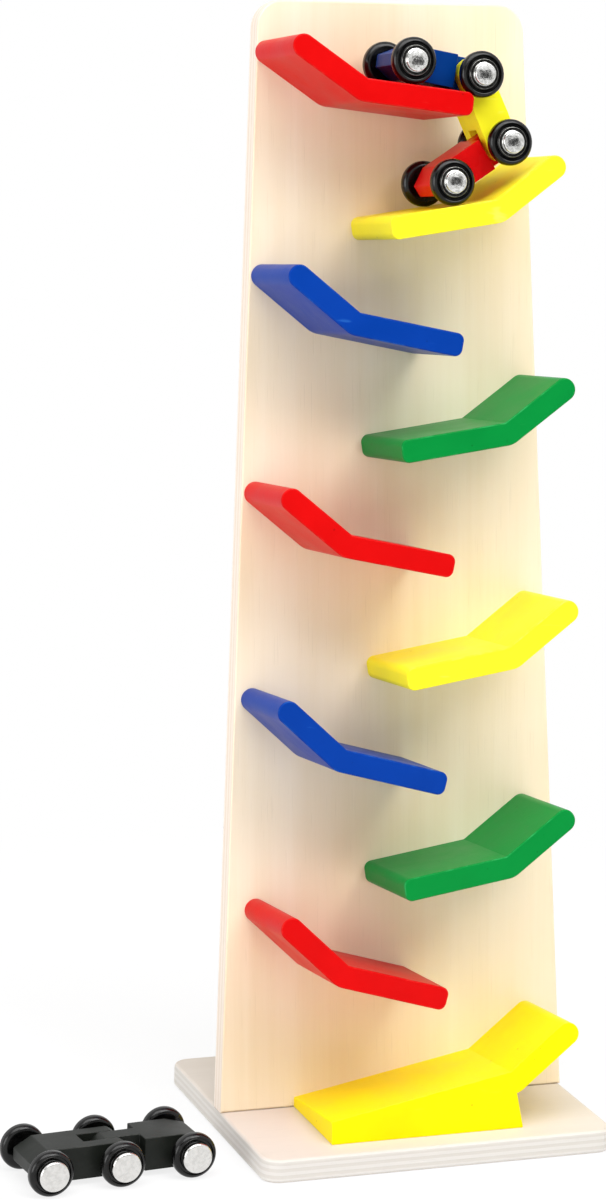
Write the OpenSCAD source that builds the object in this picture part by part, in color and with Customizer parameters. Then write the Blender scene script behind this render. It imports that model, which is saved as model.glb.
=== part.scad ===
// Click clack track: a leaning board with ten ramps, a linked three-car train and a spare black train.
// Units mm, +Z up, +X right. The origin is the centre of the base's underside.

/* [Base] */
// Width of the base plate
base_w = 197; // [170:1:230]
// Depth of the base plate, front to back
base_d = 168.7; // [150:0.1:200]
// Thickness of the base plate
base_t = 12.6; // [10:0.1:18]
// Radius of the base plate's corners
base_corner_r = 10; // [4:0.5:20]
// Distance from the base's front edge to the board's front face
board_setback = 76.8; // [70:0.1:90]

/* [Board] */
// Length of the board along its lean
board_len = 587.4; // [540:0.1:640]
// Width of the board at its top
board_top_w = 148.2; // [140:0.1:165]
// Thickness of the board
board_t = 12.2; // [10:0.1:16]
// Angle that the board leans back
board_lean = 6.25; // [3:0.05:9]
// Radius of the board's top corners
board_corner_r = 14.5; // [6:0.5:25]
// How much fuller the board's top corners are
corner_fullness = 0.04; // [0.03:0.01:0.2]

/* [Ramps] */
// Depth of a ramp, out from the board
ramp_d = 61; // [58:0.5:66]
// Thickness of a ramp
ramp_t = 12.2; // [10:0.1:14]
// Length of the steep part, from the bend to the middle of its round end
steep_len = 37; // [32:0.5:40]
// Length of the shallow part, from the bend to the low end
shallow_len = 58.8; // [54:0.1:60]
// Angle of the bend
bend_angle = 27.6; // [24:0.1:31]
// How much fuller the underside is at the bend
bend_fullness = 0.05; // [0.03:0.01:0.2]
// Radius of the low end's corners, as a share of the thickness
low_end_share = 0.33; // [0.2:0.01:0.45]
// Height of each bend up the board, as a share of the board's length, top ramp first
bend_height_shares = [0.927, 0.823, 0.725, 0.627, 0.531, 0.427, 0.342, 0.238, 0.149];
// Distance of each bend from the middle, as a share of the board's half width there
bend_side_shares = [0.471, 0.437, 0.496, 0.479, 0.523, 0.483, 0.534, 0.443, 0.497];
// Tilt of each shallow part, as a share of the bend angle
tilt_shares = [0.23, 0.315, 0.41, 0.295, 0.43, 0.33, 0.545, 0.32, 0.58];

/* [Bottom ramp] */
// Height of the bottom ramp's bend above the base
bottom_bend_h = 23.9; // [22:0.1:27]
// Distance of the bottom ramp's bend from the middle
bottom_bend_x = 44; // [38:0.5:48]
// Tilt of the bottom ramp's long part
bottom_tilt = 10.4; // [8:0.1:11]
// Distance from the bend to the bottom ramp's low end
bottom_reach = 101; // [92:0.5:106]
// Distance from the bend along the long part to the block's other end
bottom_heel = 1.4; // [0.6:0.1:3]

/* [Screws] */
// Diameter of a screw's shank
screw_d = 3.5; // [3:0.1:4]
// Diameter of a screw's head
screw_head_d = 7; // [6:0.1:8]
// Height of a screw's countersunk head
screw_head_h = 2.6; // [2:0.1:3]
// Length of a screw that holds a ramp
ramp_screw_len = 34; // [28:1:38]
// Length of a screw that holds the board
board_screw_len = 38; // [32:1:44]
// Width of the cross in a screw's head
drive_w = 0.9; // [0.7:0.1:1.2]
// Span of the cross in a screw's head
drive_span = 4; // [3:0.1:4.5]
// Depth of the cross in a screw's head
drive_deep = 1.4; // [1:0.1:1.8]
// Distance between the screws that hold the board
board_screw_pitch = 70; // [55:1:80]

/* [Wheels] */
// Diameter of a wheel
wheel_d = 24; // [22:0.1:25]
// Width of a wheel's tyre
wheel_w = 7; // [6:0.1:7.5]
// Radius of the tyre's shoulders
tyre_r = 2.8; // [1.5:0.1:2.9]
// Distance between the middles of a pair of wheels
wheel_track = 42; // [41:0.1:43]
// Diameter of an axle
axle_d = 3.4; // [3:0.1:4]
// Running clearance round an axle in a link
axle_play = 0.08; // [0.04:0.01:0.1]
// Diameter of the boss on a wheel's inner side
boss_d = 8; // [6:0.1:9]
// Length of the boss on a wheel's inner side
boss_len = 4; // [3:0.1:4.2]
// Inner diameter of the groove in a wheel's outer face
groove_d = 16.2; // [16.1:0.1:17]
// Width of the groove in a wheel's outer face
groove_w = 1.7; // [1:0.1:1.9]
// Depth of the groove in a wheel's outer face
groove_deep = 1.4; // [0.8:0.1:2]

/* [Caps] */
// Diameter of a coloured train's cap at its flange
flange_d = 15.6; // [14:0.1:16]
// Thickness of a cap's flange
flange_t = 0.8; // [0.6:0.1:1]
// Diameter of the raised middle of a cap
dome_d = 11.5; // [10:0.1:12.5]
// Height of a coloured train's cap
cap_h = 3.4; // [2.8:0.1:3.8]
// Radius of a cap's edge
cap_edge_r = 0.7; // [0.4:0.1:0.8]
// Wall at the closed end of a cap
cap_wall = 0.8; // [0.6:0.1:1]
// Diameter of a black train's flat cap
flat_cap_d = 16; // [14.5:0.1:16]
// Height of a black train's flat cap
flat_cap_h = 3.4; // [2.8:0.1:3.8]

/* [Links] */
// Width of a link
link_w = 25.6; // [24:0.1:25.8]
// Height of a link
link_h = 17.6; // [16:0.1:18.5]
// Diameter of the rounded eyes round the hinge axles
eye_d = 18.6; // [17.8:0.1:19.4]
// Width of the tongue at the end of a link
tongue_w = 10; // [8:0.1:12]
// Clearance on each side of a tongue in its fork
tongue_play = 0.3; // [0.3:0.05:0.5]
// Reach of a link's nose past its axle
nose_len = 8; // [7:0.1:9]
// Height of the flat at the tip of a nose
nose_flat = 6.6; // [5:0.1:9]
// Distance from the axle back to where a nose starts to narrow
nose_back = 1.5; // [0:0.1:3]
// Size of the bevels on the black train's square end
end_bevel = 3; // [1:0.1:4]

/* [Coloured train] */
// Distance between neighbouring axles of the coloured train
train_pitch = 38; // [37.6:0.1:39]
// Distance from the board's front face to the middle of the train
train_out = 35.5; // [34.5:0.1:37]
// Distance from a shoulder to its axle on the coloured train
train_shoulder = 11; // [10.6:0.1:12]
// Angle that the second axle has rolled over the top ramp's end
roll_angle = 30; // [26:0.5:33]
// Distance of the fourth axle from the second ramp's bend
train_reach = 20.8; // [18:0.1:24]
// Gap between a wheel and the ramp under it
rest_gap = 0.3; // [0.3:0.05:0.5]

/* [Black train] */
// Distance between neighbouring axles of the black train
car_pitch = 39.2; // [38:0.1:40]
// Distance from a shoulder to its axle on the black train
car_shoulder = 15.5; // [14:0.1:16]
// Distance from the base's left edge to the black train's middle axle
car_side = 73.1; // [70:0.1:90]
// Distance from the base's front edge back to the black train's middle axle
car_back = 38.9; // [20:0.1:60]
// Heading of the black train
car_heading = 5.5; // [0:0.1:8]

/* [Node to build] */
// Which node to build

/* [Hidden] */
$fa = 4;
$fs = 0.4;
front_y = board_setback - base_d / 2;
low_r = low_end_share * ramp_t;
side_fall = (base_w - board_top_w) / 2 / board_len;
side_angle = atan(side_fall);
run_r = wheel_d / 2 + rest_gap;
slot_w = tongue_w + 2 * tongue_play;
bend_lap = 12;
skew_share = 0.5;
steep_screw_share = 0.55;
shallow_screw_share = 0.62;
reach_share = 0.98;

red = [0.93, 0.1, 0.09];
yellow = [1, 0.9, 0.08];
blue = [0.02, 0.27, 0.66];
green = [0.05, 0.58, 0.25];
birch = [0.92, 0.83, 0.71];
pale = [0.92, 0.9, 0.87];
black = [0.05, 0.05, 0.05];
charcoal = [0.2, 0.2, 0.2];
bright = [0.85, 0.85, 0.86];
steel = [0.7, 0.7, 0.72];

// Places on the board: across from its middle, and up its front face from the base
function half_w(up) = base_w / 2 - side_fall * up;
function ray(from, angle, far) = [from[0] + far * cos(angle), from[1] + far * sin(angle)];
function gap2(a, b) = norm([b[0] - a[0], b[1] - a[1]]);
function heading(a, b) = atan2(b[1] - a[1], b[0] - a[0]);
function along(place, from, angle) = (place[0] - from[0]) * cos(angle) + (place[1] - from[1]) * sin(angle);
function above(place, from, angle) = (place[1] - from[1]) * cos(angle) - (place[0] - from[0]) * sin(angle);

// An axle one pitch to the left of another, with its wheels on the ramp surface that passes a place at an angle
function stand_left(axle, from, angle) =
    ray(ray(from, angle, along(axle, from, angle)
        - sqrt(train_pitch * train_pitch - pow(above(axle, from, angle) - run_r, 2))), angle + 90, run_r);

// Ramps are counted from 0 at the top; even ones are high on the left, so their side is -1
function side(i) = i % 2 == 0 ? -1 : 1;
function tilt(i) = tilt_shares[i] * bend_angle;
function bend_up(i) = bend_height_shares[i] * board_len;
function bend(i) = [side(i) * bend_side_shares[i] * half_w(bend_up(i)), bend_up(i)];

// Coloured train: axle 2 has rolled round the top ramp's low corner, axle 1 follows on that ramp,
// axle 4 stands on the second ramp, and axle 3 hangs free between its two links. Where the ramps are
// so near each other that axle 3 reaches the second ramp's steep part, it stands there, ahead of axle 4
top_tilt = tilt(0);
low_corner = ray(ray(bend(0), -top_tilt, shallow_len - low_r), 270 - top_tilt, low_r);
axle2 = ray(low_corner, 90 - top_tilt - roll_angle, low_r + run_r);
axle1 = stand_left(axle2, bend(0), -top_tilt);
second_tilt = tilt(1);
second_steep = second_tilt + bend_angle;
axle4_wish = ray(ray(bend(1), 180 + second_tilt, train_reach), 90 + second_tilt, run_r);
axle4_far = min(gap2(axle2, axle4_wish), 2 * train_pitch * reach_share);
axle3_out = sqrt(train_pitch * train_pitch - axle4_far * axle4_far / 4);
axle4_down = ray(axle2, heading(axle2, axle4_wish), axle4_far);
axle3_free = ray(ray(axle2, heading(axle2, axle4_down), axle4_far / 2), heading(axle2, axle4_down) + 90, axle3_out);
axle3_lands = above(axle3_free, bend(1), second_steep) < run_r;
axle3 = axle3_lands ? stand_left(axle2, bend(1), second_steep) : axle3_free;
axle4 = axle3_lands ? stand_left(axle3, bend(1), second_tilt) : axle4_down;

// Black train: its middle axle stands clear of the base's left edge
car_x = -base_w / 2 - car_side;
car_y = -base_d / 2 + car_back;

module on_board() {
    translate([0, front_y, base_t]) rotate([-board_lean, 0, 0]) children();
}

module at_axle(place, angle = 0) {
    on_board() translate([place[0], -train_out, place[1]]) rotate([0, -angle, 0]) children();
}

module on_floor(number) {
    translate([car_x, car_y, wheel_d / 2]) rotate([0, 0, car_heading])
        translate([(number - 2) * car_pitch, 0, 0]) children();
}

module across(wide) {
    rotate([90, 0, 0]) linear_extrude(height = wide, center = true) children();
}

module below_base_top() {
    translate([-base_w, -base_d, base_t - board_len]) cube([2 * base_w, 2 * base_d, board_len]);
}

module plate_outline() {
    x = base_w / 2 - base_corner_r;
    y = base_d / 2 - base_corner_r;
    square([2 * x, base_d], center = true);
    square([base_w, 2 * y], center = true);
    for (a = [-1, 1], b = [-1, 1]) translate([a * x, b * y]) circle(r = base_corner_r);
}

module board_outline() {
    up = board_len - board_corner_r;
    mid = half_w(up) - board_corner_r / cos(side_angle);
    touch_x = mid + board_corner_r * cos(side_angle);
    touch_z = up + board_corner_r * sin(side_angle);
    polygon([[-base_w / 2, -base_t], [base_w / 2, -base_t], [base_w / 2, 0], [touch_x, touch_z],
        [mid, board_len], [-mid, board_len], [-touch_x, touch_z], [-base_w / 2, 0]]);
    for (a = [-1, 1]) translate([a * mid, up]) circle(r = board_corner_r + corner_fullness);
}

// A ramp that is high on the right, with its bend at the origin
module steep_outline(low) {
    high = low + bend_angle;
    outer_r = ramp_t + bend_fullness;
    rotate(high) {
        translate([0, -ramp_t]) square([steep_len, ramp_t]);
        translate([steep_len, -ramp_t / 2]) circle(d = ramp_t);
    }
    intersection() {
        circle(r = outer_r);
        polygon([[0, 0], ray([0, 0], low - 90 - bend_lap, 2 * outer_r),
            ray([0, 0], high - 90 + bend_lap, 2 * outer_r)]);
    }
}

module ramp_outline(low) {
    steep_outline(low);
    rotate(low) {
        translate([low_r - shallow_len, -ramp_t]) square([shallow_len - low_r, ramp_t]);
        translate([-shallow_len, low_r - ramp_t]) square([shallow_len, ramp_t - 2 * low_r]);
        translate([low_r - shallow_len, -low_r]) circle(r = low_r);
        translate([low_r - shallow_len, low_r - ramp_t]) circle(r = low_r);
    }
}

module screw(long) {
    difference() {
        union() {
            cylinder(h = screw_head_h, d1 = screw_head_d, d2 = screw_d);
            cylinder(h = long, d = screw_d);
        }
        for (a = [0, 90]) rotate(a)
            translate([-drive_span / 2, -drive_w / 2, -drive_deep]) cube([drive_span, drive_w, 2 * drive_deep]);
    }
}

module screw_hole(long) {
    cylinder(h = screw_head_h, d1 = screw_head_d, d2 = screw_d);
    cylinder(h = long, d = screw_d);
}

// Screws of one ramp, from the back of the board: one in its steep part and one in its shallow part
function steep_spot(low) = ray(ray([0, 0], low + bend_angle, steep_len * steep_screw_share),
    low + bend_angle - 90, ramp_t / 2);
function shallow_spot(low) = ray(ray([0, 0], 180 + low, shallow_len * shallow_screw_share),
    low - 90, ramp_t / 2);

module at_ramp_screws(place, way, low) {
    for (spot = [steep_spot(low), shallow_spot(low)])
        translate([place[0] + way * spot[0], board_t, place[1] + spot[1]]) rotate([90, 0, 0]) children();
}

module at_all_ramp_screws() {
    on_board() {
        for (i = [0:8]) at_ramp_screws(bend(i), side(i), tilt(i)) children();
        at_ramp_screws([bottom_bend_x, bottom_bend_h], 1, bottom_tilt) children();
    }
}

module at_board_screws() {
    middle_y = front_y + board_t / 2 + board_screw_len * skew_share * tan(board_lean) / 2;
    for (a = [-1:1]) translate([a * board_screw_pitch, middle_y, 0]) children();
}

module ramp(i) {
    difference() {
        on_board() translate([bend(i)[0], 0, bend(i)[1]]) rotate([90, 0, 0])
            linear_extrude(height = ramp_d) scale([side(i), 1]) ramp_outline(tilt(i));
        on_board() at_ramp_screws(bend(i), side(i), tilt(i)) screw_hole(ramp_screw_len);
    }
}

module bottom_ramp() {
    fall = bottom_reach * tan(bottom_tilt);
    heel = ray([0, 0], bottom_tilt, bottom_heel);
    heel_low = ray(heel, bottom_tilt - 90, 3 * bottom_bend_h);
    difference() {
        on_board() translate([bottom_bend_x, 0, bottom_bend_h]) rotate([90, 0, 0])
            linear_extrude(height = ramp_d) {
                steep_outline(bottom_tilt);
                polygon([[0, 0], [-bottom_reach, -fall], [-bottom_reach, heel_low[1]], heel_low,
                    ray(heel, bottom_tilt - 90, ramp_t / 2)]);
            }
        below_base_top();
        on_board() at_ramp_screws([bottom_bend_x, bottom_bend_h], 1, bottom_tilt) screw_hole(ramp_screw_len);
    }
}

module base_plate() {
    color(pale) difference() {
        linear_extrude(height = base_t) plate_outline();
        at_board_screws() screw_hole(board_screw_len);
    }
}

module back_board() {
    color(birch) difference() {
        on_board() translate([0, board_t, 0]) rotate([90, 0, 0]) linear_extrude(height = board_t) board_outline();
        below_base_top();
        at_all_ramp_screws() screw_hole(ramp_screw_len);
        at_board_screws() screw_hole(board_screw_len);
    }
}

module ramp_screws() {
    color(steel) at_all_ramp_screws() screw(ramp_screw_len);
}

module board_screws() {
    color(steel) at_board_screws() screw(board_screw_len);
}

// Wheels, caps and axles, about an axle that runs front to back through the origin
module axle(cap_high) {
    rotate([90, 0, 0])
        cylinder(h = wheel_track + wheel_w + 2 * (cap_high - cap_wall), d = axle_d, center = true);
}

module outward(way) {
    rotate([-90 * way, 0, 0]) translate([0, 0, wheel_track / 2]) children();
}

module wheel(way) {
    core = axle_d / 2;
    edge = wheel_d / 2 - tyre_r;
    flat = wheel_w / 2 - tyre_r;
    outward(way) rotate_extrude() difference() {
        union() {
            translate([core, -wheel_w / 2]) square([edge - core, wheel_w]);
            translate([core, -flat]) square([wheel_d / 2 - core, 2 * flat]);
            for (a = [-1, 1]) translate([edge, a * flat]) circle(r = tyre_r);
            translate([core, -wheel_w / 2 - boss_len]) square([boss_d / 2 - core, 2 * boss_len]);
        }
        translate([groove_d / 2, wheel_w / 2 - groove_deep]) square([groove_w, 2 * groove_deep]);
        translate([0, wheel_w / 2]) square([wheel_d, wheel_w]);
    }
}

module disc(wide, high) {
    square([wide / 2 - cap_edge_r, high]);
    square([wide / 2, high - cap_edge_r]);
    translate([wide / 2 - cap_edge_r, high - cap_edge_r]) circle(r = cap_edge_r);
}

module cap(way) {
    outward(way) translate([0, 0, wheel_w / 2]) rotate_extrude() difference() {
        union() {
            square([flange_d / 2, flange_t]);
            disc(dome_d, cap_h);
        }
        square([axle_d / 2, cap_h - cap_wall]);
    }
}

module flat_cap(way) {
    outward(way) translate([0, 0, wheel_w / 2]) rotate_extrude() difference() {
        disc(flat_cap_d, flat_cap_h);
        square([axle_d / 2, flat_cap_h - cap_wall]);
    }
}

// Links lie along X from the axle at the origin to the axle one pitch away
module bores(pitch) {
    for (x = [0, pitch]) translate([x, 0, 0]) rotate([90, 0, 0])
        cylinder(h = 2 * link_w, d = axle_d + 2 * axle_play, center = true);
}

module nose_side(upto) {
    polygon([[nose_back, -link_h / 2], [upto, -link_h / 2], [upto, link_h / 2],
        [nose_back, link_h / 2], [-nose_len, nose_flat / 2], [-nose_len, -nose_flat / 2]]);
}

module slot(way, shoulder) {
    scale([way, 1, 1]) translate([-shoulder, -slot_w / 2, -link_h])
        cube([shoulder + link_h, slot_w, 2 * link_h]);
}

module tongue(way, shoulder) {
    across(tongue_w) {
        circle(d = eye_d);
        scale([way, 1]) translate([-shoulder, -link_h / 2]) square([shoulder, link_h]);
    }
}

module nose_and_tongue(pitch, shoulder) {
    difference() {
        union() {
            across(link_w) nose_side(pitch - shoulder);
            translate([pitch, 0, 0]) tongue(1, shoulder);
        }
        bores(pitch);
    }
}

module two_forks(pitch, shoulder) {
    difference() {
        across(link_w) {
            translate([0, -link_h / 2]) square([pitch, link_h]);
            for (x = [0, pitch]) translate([x, 0]) circle(d = eye_d);
        }
        slot(-1, shoulder);
        translate([pitch, 0, 0]) slot(1, shoulder);
        bores(pitch);
    }
}

module nose_and_fork(pitch, shoulder) {
    difference() {
        across(link_w) {
            nose_side(pitch);
            translate([pitch, 0]) circle(d = eye_d);
        }
        translate([pitch, 0, 0]) slot(1, shoulder);
        bores(pitch);
    }
}

module tongue_and_end(pitch, shoulder) {
    end = pitch + nose_len;
    top = link_h / 2;
    difference() {
        union() {
            tongue(-1, shoulder);
            across(link_w) polygon([[shoulder, -top], [end - end_bevel, -top], [end, end_bevel - top],
                [end, top - end_bevel], [end - end_bevel, top], [shoulder, top]]);
        }
        bores(pitch);
    }
}

module red_ramp_1() { color(red) ramp(0); }
module yellow_ramp_2() { color(yellow) ramp(1); }
module blue_ramp_3() { color(blue) ramp(2); }
module green_ramp_4() { color(green) ramp(3); }
module red_ramp_5() { color(red) ramp(4); }
module yellow_ramp_6() { color(yellow) ramp(5); }
module blue_ramp_7() { color(blue) ramp(6); }
module green_ramp_8() { color(green) ramp(7); }
module red_ramp_9() { color(red) ramp(8); }
module yellow_ramp_10() { color(yellow) bottom_ramp(); }

module blue_link() {
    color(blue) at_axle(axle1, heading(axle1, axle2)) nose_and_tongue(train_pitch, train_shoulder);
}
module yellow_link() {
    color(yellow) at_axle(axle2, heading(axle2, axle3)) two_forks(train_pitch, train_shoulder);
}
module red_link() {
    color(red) at_axle(axle4, heading(axle4, axle3)) nose_and_tongue(train_pitch, train_shoulder);
}

module train_axle_1() { color(steel) at_axle(axle1) axle(cap_h); }
module train_axle_2() { color(steel) at_axle(axle2) axle(cap_h); }
module train_axle_3() { color(steel) at_axle(axle3) axle(cap_h); }
module train_axle_4() { color(steel) at_axle(axle4) axle(cap_h); }
module train_near_wheel_1() { color(black) at_axle(axle1) wheel(-1); }
module train_near_wheel_2() { color(black) at_axle(axle2) wheel(-1); }
module train_near_wheel_3() { color(black) at_axle(axle3) wheel(-1); }
module train_near_wheel_4() { color(black) at_axle(axle4) wheel(-1); }
module train_far_wheel_1() { color(black) at_axle(axle1) wheel(1); }
module train_far_wheel_2() { color(black) at_axle(axle2) wheel(1); }
module train_far_wheel_3() { color(black) at_axle(axle3) wheel(1); }
module train_far_wheel_4() { color(black) at_axle(axle4) wheel(1); }
module train_caps_1() { color(bright) at_axle(axle1) for (way = [-1, 1]) cap(way); }
module train_caps_2() { color(bright) at_axle(axle2) for (way = [-1, 1]) cap(way); }
module train_caps_3() { color(bright) at_axle(axle3) for (way = [-1, 1]) cap(way); }
module train_caps_4() { color(bright) at_axle(axle4) for (way = [-1, 1]) cap(way); }

module black_fork_link() { color(charcoal) on_floor(1) nose_and_fork(car_pitch, car_shoulder); }
module black_tongue_link() { color(charcoal) on_floor(2) tongue_and_end(car_pitch, car_shoulder); }
module black_axle_1() { color(steel) on_floor(1) axle(flat_cap_h); }
module black_axle_2() { color(steel) on_floor(2) axle(flat_cap_h); }
module black_axle_3() { color(steel) on_floor(3) axle(flat_cap_h); }
module black_near_wheel_1() { color(black) on_floor(1) wheel(-1); }
module black_near_wheel_2() { color(black) on_floor(2) wheel(-1); }
module black_near_wheel_3() { color(black) on_floor(3) wheel(-1); }
module black_far_wheel_1() { color(black) on_floor(1) wheel(1); }
module black_far_wheel_2() { color(black) on_floor(2) wheel(1); }
module black_far_wheel_3() { color(black) on_floor(3) wheel(1); }
module black_caps_1() { color(bright) on_floor(1) for (way = [-1, 1]) flat_cap(way); }
module black_caps_2() { color(bright) on_floor(2) for (way = [-1, 1]) flat_cap(way); }
module black_caps_3() { color(bright) on_floor(3) for (way = [-1, 1]) flat_cap(way); }

base_plate();
back_board();
red_ramp_1();
yellow_ramp_2();
blue_ramp_3();
green_ramp_4();
red_ramp_5();
yellow_ramp_6();
blue_ramp_7();
green_ramp_8();
red_ramp_9();
yellow_ramp_10();
ramp_screws();
board_screws();
blue_link();
yellow_link();
red_link();
train_axle_1();
train_axle_2();
train_axle_3();
train_axle_4();
train_near_wheel_1();
train_near_wheel_2();
train_near_wheel_3();
train_near_wheel_4();
train_far_wheel_1();
train_far_wheel_2();
train_far_wheel_3();
train_far_wheel_4();
train_caps_1();
train_caps_2();
train_caps_3();
train_caps_4();
black_fork_link();
black_tongue_link();
black_axle_1();
black_axle_2();
black_axle_3();
black_near_wheel_1();
black_near_wheel_2();
black_near_wheel_3();
black_far_wheel_1();
black_far_wheel_2();
black_far_wheel_3();
black_caps_1();
black_caps_2();
black_caps_3();
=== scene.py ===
import bpy
import bmesh
import numpy as np
from math import radians, pi, sin, cos, tan, atan2
from mathutils import Matrix, Vector


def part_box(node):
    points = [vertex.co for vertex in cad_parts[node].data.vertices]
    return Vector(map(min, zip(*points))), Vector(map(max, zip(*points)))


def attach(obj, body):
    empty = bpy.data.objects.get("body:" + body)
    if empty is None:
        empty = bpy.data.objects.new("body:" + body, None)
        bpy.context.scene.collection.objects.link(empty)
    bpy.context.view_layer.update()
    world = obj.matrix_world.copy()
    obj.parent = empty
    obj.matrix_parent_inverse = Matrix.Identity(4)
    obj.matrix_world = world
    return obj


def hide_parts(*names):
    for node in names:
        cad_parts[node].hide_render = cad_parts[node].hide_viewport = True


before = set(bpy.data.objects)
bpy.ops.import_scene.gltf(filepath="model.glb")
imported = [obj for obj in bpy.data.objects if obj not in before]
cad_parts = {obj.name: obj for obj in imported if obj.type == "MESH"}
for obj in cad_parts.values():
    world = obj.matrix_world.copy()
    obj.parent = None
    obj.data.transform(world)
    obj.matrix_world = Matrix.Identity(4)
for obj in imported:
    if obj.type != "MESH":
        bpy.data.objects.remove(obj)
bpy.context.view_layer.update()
mm = 0.001

# Camera and studio
# The toy stands on a white sweep, seen from the front left and a little above.
# Three large soft lamps and a pale room, brighter overhead than at eye level, light it; two dark cards in
# front give the bright caps their shade.
camera_place = Vector((-665.6, -1722.7, 656.1)) * mm
camera_yaw, camera_pitch, camera_roll = radians(20.704), radians(11.815), radians(2.142)
camera_lens, camera_sensor = 106.77, 36.0
camera_shift, camera_reach = (-0.0648, 0.0258), 50

ahead = Vector((sin(camera_yaw) * cos(camera_pitch), cos(camera_yaw) * cos(camera_pitch), -sin(camera_pitch)))
level = Vector((cos(camera_yaw), -sin(camera_yaw), 0))
upright = level.cross(ahead)
right = level * cos(camera_roll) + upright * sin(camera_roll)
up = upright * cos(camera_roll) - level * sin(camera_roll)
turn = Matrix((right, up, -ahead)).transposed().to_4x4()
camera_data = bpy.data.cameras.new("camera")
camera_data.lens, camera_data.sensor_width, camera_data.sensor_fit = camera_lens, camera_sensor, "AUTO"
camera_data.shift_x, camera_data.shift_y = camera_shift
camera_data.clip_end = camera_reach
camera = bpy.data.objects.new("camera", camera_data)
camera.matrix_world = Matrix.Translation(camera_place) @ turn
bpy.context.scene.collection.objects.link(camera)
bpy.context.scene.camera = camera
bpy.context.scene.view_settings.view_transform = "Standard"


def lamp(name, place, target, size, power):
    """A square soft lamp at a place, turned so that it faces the target."""
    data = bpy.data.lights.new(name, "AREA")
    data.shape, data.size, data.energy = "SQUARE", size, power
    obj = bpy.data.objects.new(name, data)
    aim = (Vector(target) - Vector(place)).to_track_quat("-Z", "Y").to_matrix().to_4x4()
    obj.matrix_world = Matrix.Translation(Vector(place)) @ aim
    bpy.context.scene.collection.objects.link(obj)


toy_middle = (0, 0, 0.3)
lamp("key lamp", (1.2, -2.1, 3.0), toy_middle, size=1.9, power=66)
lamp("left lamp", (-2.6, -0.9, 0.75), toy_middle, size=1.4, power=24)
lamp("top lamp", (-0.7, -1.3, 3.6), toy_middle, size=2.6, power=76)

world = bpy.data.worlds.new("pale room")
bpy.context.scene.world = world
world.use_nodes = True
room_low, room_high = 0.32, 0.86
wt = world.node_tree
wt.nodes.clear()
room_out = wt.nodes.new("ShaderNodeOutputWorld")
room_mix = wt.nodes.new("ShaderNodeMixShader")
room_soft, room_seen = wt.nodes.new("ShaderNodeBackground"), wt.nodes.new("ShaderNodeBackground")
room_way, room_up = wt.nodes.new("ShaderNodeTexCoord"), wt.nodes.new("ShaderNodeSeparateXYZ")
room_rise = wt.nodes.new("ShaderNodeMapRange")
room_rise.inputs["To Min"].default_value, room_rise.inputs["To Max"].default_value = room_low, room_high
wt.links.new(room_way.outputs["Generated"], room_up.inputs[0])
wt.links.new(room_up.outputs["Z"], room_rise.inputs["Value"])
wt.links.new(room_rise.outputs[0], room_soft.inputs["Strength"])
for socket in (room_soft.inputs["Color"], room_seen.inputs["Color"]):
    socket.default_value = (1, 1, 1, 1)
room_seen.inputs["Strength"].default_value = 1.0


def seen_rays(tree):
    """1 on rays that show a surface or the background as it looks: camera, glossy and transmission rays."""
    path = tree.nodes.new("ShaderNodeLightPath")
    first, second = tree.nodes.new("ShaderNodeMath"), tree.nodes.new("ShaderNodeMath")
    first.operation = second.operation = "MAXIMUM"
    tree.links.new(path.outputs["Is Camera Ray"], first.inputs[0])
    tree.links.new(path.outputs["Is Glossy Ray"], first.inputs[1])
    tree.links.new(first.outputs[0], second.inputs[0])
    tree.links.new(path.outputs["Is Transmission Ray"], second.inputs[1])
    return second.outputs[0]


wt.links.new(seen_rays(wt), room_mix.inputs[0])
wt.links.new(room_soft.outputs[0], room_mix.inputs[1])
wt.links.new(room_seen.outputs[0], room_mix.inputs[2])
wt.links.new(room_mix.outputs[0], room_out.inputs["Surface"])


def grid_mesh(name, points, faces):
    """A mesh object from an array of points and lists of corner numbers, linked to the scene."""
    mesh = bpy.data.meshes.new(name)
    mesh.from_pydata(np.asarray(points, float).reshape(-1, 3).tolist(), [], faces)
    mesh.update()
    obj = bpy.data.objects.new(name, mesh)
    bpy.context.scene.collection.objects.link(obj)
    return obj


# The sweep is a flat square, far larger than the view. It glows white further off, so that only the
# ground near the toy takes a shadow. It lies a hair below the base and is clear from underneath.
corner_signs = ((-1, -1), (1, -1), (1, 1), (-1, 1))
floor_half, floor_white, glow_near, glow_far, near_r, far_r = 12.0, 0.85, 0.82, 1.0, 0.25, 0.6
floor_drop = 0.02 * mm
floor = grid_mesh("floor", [(a * floor_half, b * floor_half, -floor_drop) for a, b in corner_signs],
                  [(0, 1, 2, 3)])
floor_paint = bpy.data.materials.new("white sweep")
floor_paint.use_nodes = True
ft = floor_paint.node_tree
ft.nodes.clear()
floor_out, floor_mix = ft.nodes.new("ShaderNodeOutputMaterial"), ft.nodes.new("ShaderNodeMixShader")
floor_matt, floor_light = ft.nodes.new("ShaderNodeBsdfDiffuse"), ft.nodes.new("ShaderNodeEmission")
floor_matt.inputs["Color"].default_value = (floor_white, floor_white, floor_white, 1)
floor_share = ft.nodes.new("ShaderNodeMath")
floor_share.operation = "MULTIPLY"
floor_where, floor_reach = ft.nodes.new("ShaderNodeTexCoord"), ft.nodes.new("ShaderNodeVectorMath")
floor_reach.operation = "LENGTH"
ft.links.new(floor_where.outputs["Object"], floor_reach.inputs[0])
floor_fade = ft.nodes.new("ShaderNodeMapRange")
for socket, value in (("From Min", near_r), ("From Max", far_r), ("To Min", glow_near), ("To Max", glow_far)):
    floor_fade.inputs[socket].default_value = value
ft.links.new(floor_reach.outputs["Value"], floor_fade.inputs[0])
ft.links.new(floor_fade.outputs[0], floor_share.inputs[1])
ft.links.new(seen_rays(ft), floor_share.inputs[0])
ft.links.new(floor_share.outputs[0], floor_mix.inputs[0])
ft.links.new(floor_matt.outputs[0], floor_mix.inputs[1])
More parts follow.
